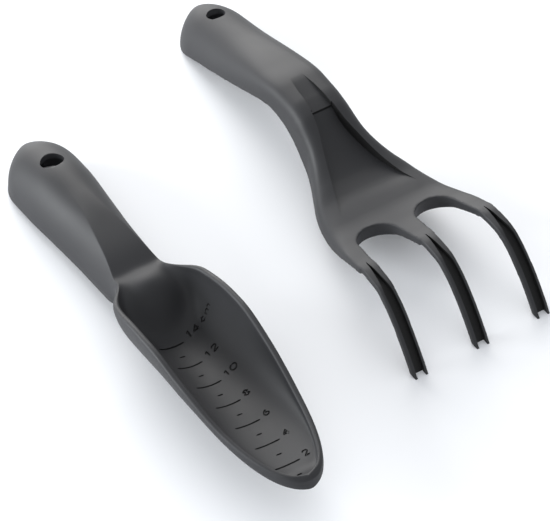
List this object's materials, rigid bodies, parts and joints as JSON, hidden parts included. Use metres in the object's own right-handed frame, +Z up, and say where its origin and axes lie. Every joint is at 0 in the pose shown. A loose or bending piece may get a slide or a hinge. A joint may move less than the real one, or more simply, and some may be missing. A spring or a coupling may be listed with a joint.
{
  "type": "garden hand tool set",
  "caption": "Moulded plastic garden hand tools: a deep scoop trowel with a depth scale and a curved-tine cultivator, each with a hanging hole in a hollow handle.",
  "frame": {"origin": "middle of the set's footprint on the ground", "axes": "+Y towards the handle ends, +Z up, +X from the trowel towards the cultivator"},
  "size_m": [0.2206, 0.353, 0.0495],
  "materials": {
    "plastic": "fine matte moulded texture"
  },
  "bodies": {
    "trowel": {"trowel": "plastic"},
    "cultivator": {"cultivator": "plastic"}
  },
  "joints": [
    {"name": "cultivator_lift", "type": "slide", "parent": "trowel", "child": "cultivator", "axis": [0, 0, 1], "range_m": [0, 0.15]}
  ]
}
